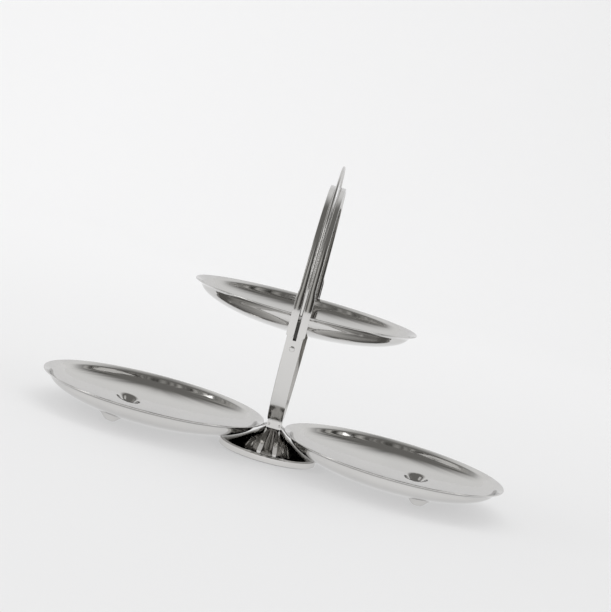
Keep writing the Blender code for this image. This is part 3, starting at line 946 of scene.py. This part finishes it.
def table_paper():
    """Pale paper that keeps the shadow; the camera and the steel also see it as a pale background."""
    material, nodes, links = new_material("table_paper")
    shader = nodes["Principled BSDF"]
    shader.inputs["Base Color"].default_value = (*finishes().floor, 1.0)
    shader.inputs["Roughness"].default_value = TABLE_ROUGHNESS
    shader.inputs["Specular IOR Level"].default_value = TABLE_SHEEN
    place = nodes.new("ShaderNodeTexCoord")
    parts = nodes.new("ShaderNodeSeparateXYZ")
    links.new(place.outputs["Object"], parts.inputs["Vector"])
    rays = nodes.new("ShaderNodeLightPath")
    by_camera = rays.outputs["Is Camera Ray"]
    by_steel = rays.outputs["Is Glossy Ray"]
    rise = mapped(nodes, links, parts.outputs["Y"], GLOW_DEPTHS, GLOW_LEVELS, smooth=True)
    across = mapped(nodes, links, parts.outputs["X"], GLOW_SIDES, GLOW_TILT)
    level = worked_out(nodes, links, "ADD", (across, rise))
    strength = worked_out(nodes, links, "MULTIPLY_ADD", (by_steel, GLOW_IN_STEEL, level), clamp=True)
    glow = nodes.new("ShaderNodeEmission")
    glow.inputs["Color"].default_value = GLOW_COLOUR
    links.new(strength, glow.inputs["Strength"])
    seen = worked_out(nodes, links, "MULTIPLY", (by_camera, CAMERA_SHARE))
    share = worked_out(nodes, links, "MULTIPLY_ADD", (by_steel, STEEL_SHARE, seen))
    blend = nodes.new("ShaderNodeMixShader")
    links.new(share, blend.inputs["Fac"])
    links.new(shader.outputs["BSDF"], blend.inputs[1])
    links.new(glow.outputs["Emission"], blend.inputs[2])
    links.new(blend.outputs["Shader"], nodes["Material Output"].inputs["Surface"])
    return material


def make_sweep():
    """A pale table that curves up into a backdrop."""
    profile = [(y, 0.0) for y in TABLE_DEPTHS]
    for turn in spread(0.0, math.pi / 2.0, SWEEP_STEPS):
        profile.append((SWEEP_START + SWEEP_R * math.sin(turn), SWEEP_R * (1.0 - math.cos(turn))))
    profile.append(BACKDROP_TOP)
    bm = bmesh.new()
    rows = []
    for y, z in profile:
        rows.append([bm.verts.new((x, y, z - TABLE_DROP)) for x in TABLE_WIDTHS])
    for here, there in zip(rows, rows[1:]):
        for i in range(len(here) - 1):
            bm.faces.new((here[i], here[i + 1], there[i + 1], there[i]))
    data = bpy.data.meshes.new("table_sweep")
    bm.to_mesh(data)
    bm.free()
    data.shade_smooth()
    sweep = bpy.data.objects.new("table_sweep", data)
    bpy.context.scene.collection.objects.link(sweep)
    data.materials.append(table_paper())


# Light

LIGHT_AIM = (0.0, 0.0, 0.1)
TOP_SOFTBOX = "top_softbox"
# Name, place, width and height in metres, and watts
SOFTBOXES = (
    (TOP_SOFTBOX, (0.0, 0.5, 1.7), 1.8, 1.4, 5.0),
    ("left_softbox", (-1.5, -0.5, 0.9), 0.5, 1.2, 4.0),
    ("right_softbox", (1.5, -0.4, 0.9), 0.35, 1.2, 2.5),
)
WORLD_STRENGTH = 0.94
WHITE = (1.0, 1.0, 1.0, 1.0)
LEVEL_ONLY = (1.0, 1.0, 0.0)
HORIZON = (0.83, 0.83, 0.833, 1.0)
BACK_WALL = (0.95, 0.95, 0.95, 1.0)
BACK_WALL_LEAN = -0.55
BACK_WALL_REACH = (-0.2, 0.45)
CLUTTER_SCALE = 6.5
CLUTTER_DETAIL = 3.0
CEILING = (0.7, 0.97)
CEILING_CALM = 0.47
# Where the room's dark and light begin in the clutter, and their colours
ROOM_TONES = ((0.42, (0.05, 0.048, 0.044, 1.0)), (0.66, (0.7, 0.69, 0.665, 1.0)))


def make_softboxes():
    """Three soft lamps that the camera doesn't see; the steel doesn't show the top one."""
    for name, place, width, height, watts in SOFTBOXES:
        data = bpy.data.lights.new(name, "AREA")
        data.shape = "RECTANGLE"
        data.size = width
        data.size_y = height
        data.energy = watts
        lamp = bpy.data.objects.new(name, data)
        bpy.context.scene.collection.objects.link(lamp)
        lamp.location = place
        lamp.visible_camera = False
        lamp.visible_glossy = name != TOP_SOFTBOX
        aim = Vector(LIGHT_AIM) - Vector(place)
        lamp.rotation_euler = aim.to_track_quat("-Z", "Y").to_euler()


def room_colour(nodes, links, direction, parts):
    """What the steel sees: a pale wall behind the table and an uneven, darker room in front and above."""
    level = nodes.new("ShaderNodeVectorMath")
    level.operation = "MULTIPLY"
    level.inputs[1].default_value = LEVEL_ONLY
    links.new(direction, level.inputs[0])
    compass = nodes.new("ShaderNodeVectorMath")
    compass.operation = "NORMALIZE"
    links.new(level.outputs["Vector"], compass.inputs[0])
    clutter = nodes.new("ShaderNodeTexNoise")
    clutter.inputs["Scale"].default_value = CLUTTER_SCALE
    clutter.inputs["Detail"].default_value = CLUTTER_DETAIL
    links.new(compass.outputs["Vector"], clutter.inputs["Vector"])
    overhead = mapped(nodes, links, parts.outputs["Z"], CEILING, smooth=True)
    calm = mixed(nodes, links, "FLOAT", overhead, clutter.outputs["Fac"], CEILING_CALM)
    room = nodes.new("ShaderNodeValToRGB")
    for element, (position, colour) in zip(room.color_ramp.elements, ROOM_TONES):
        element.position = position
        element.color = colour
    links.new(calm, room.inputs["Fac"])
    lean = (parts.outputs["Z"], BACK_WALL_LEAN, parts.outputs["Y"])
    toward_back = worked_out(nodes, links, "MULTIPLY_ADD", lean)
    reach = mapped(nodes, links, toward_back, BACK_WALL_REACH, smooth=True)
    return mixed(nodes, links, "RGBA", reach, room.outputs["Color"], BACK_WALL)


def make_world():
    """Even pale light all round, the room for the steel, and a plain tone past the table's end."""
    world = bpy.data.worlds.new("studio_room")
    bpy.context.scene.world = world
    world.use_nodes = True
    nodes = world.node_tree.nodes
    links = world.node_tree.links
    background = nodes["Background"]
    place = nodes.new("ShaderNodeTexCoord")
    direction = place.outputs["Generated"]
    parts = nodes.new("ShaderNodeSeparateXYZ")
    links.new(direction, parts.inputs["Vector"])
    rays = nodes.new("ShaderNodeLightPath")
    room = room_colour(nodes, links, direction, parts)
    lit = mixed(nodes, links, "RGBA", rays.outputs["Is Glossy Ray"], WHITE, room)
    shown = mixed(nodes, links, "RGBA", rays.outputs["Is Camera Ray"], lit, HORIZON)
    links.new(shown, background.inputs["Color"])
    background.inputs["Strength"].default_value = WORLD_STRENGTH


class STAND_OT_stage(bpy.types.Operator):
    """Set the table, the soft studio light and the photograph's camera"""

    bl_idname = "stand.stage"
    bl_label = "Stage"

    def execute(self, context):
        context.scene.view_settings.view_transform = "Standard"
        make_camera()
        make_sweep()
        make_world()
        make_softboxes()
        return {"FINISHED"}


class STAND_PT_panel(bpy.types.Panel):
    """Lists the stand's pieces"""

    bl_idname = "STAND_PT_panel"
    bl_label = "Serving Stand"
    bl_space_type = "VIEW_3D"
    bl_region_type = "UI"
    bl_category = "Serving Stand"

    def draw(self, context):
        for step in STEPS:
            self.layout.operator(step.bl_idname)


STEPS = (
    STAND_OT_dishes,
    STAND_OT_hoop,
    STAND_OT_bail,
    STAND_OT_foot,
    STAND_OT_neck,
    STAND_OT_fittings,
    STAND_OT_stage,
)
CLASSES = (StandSizes, StandFinishes) + STEPS + (STAND_PT_panel,)


def register():
    for cls in CLASSES:
        bpy.utils.register_class(cls)
    bpy.types.Scene.stand_sizes = PointerProperty(type=StandSizes)
    bpy.types.Scene.stand_finishes = PointerProperty(type=StandFinishes)


def unregister():
    del bpy.types.Scene.stand_finishes
    del bpy.types.Scene.stand_sizes
    for cls in reversed(CLASSES):
        bpy.utils.unregister_class(cls)


def main():
    register()
    for step in STEPS:
        group, call = step.bl_idname.split(".")
        getattr(getattr(bpy.ops, group), call)()


if __name__ == "__main__":
    main()
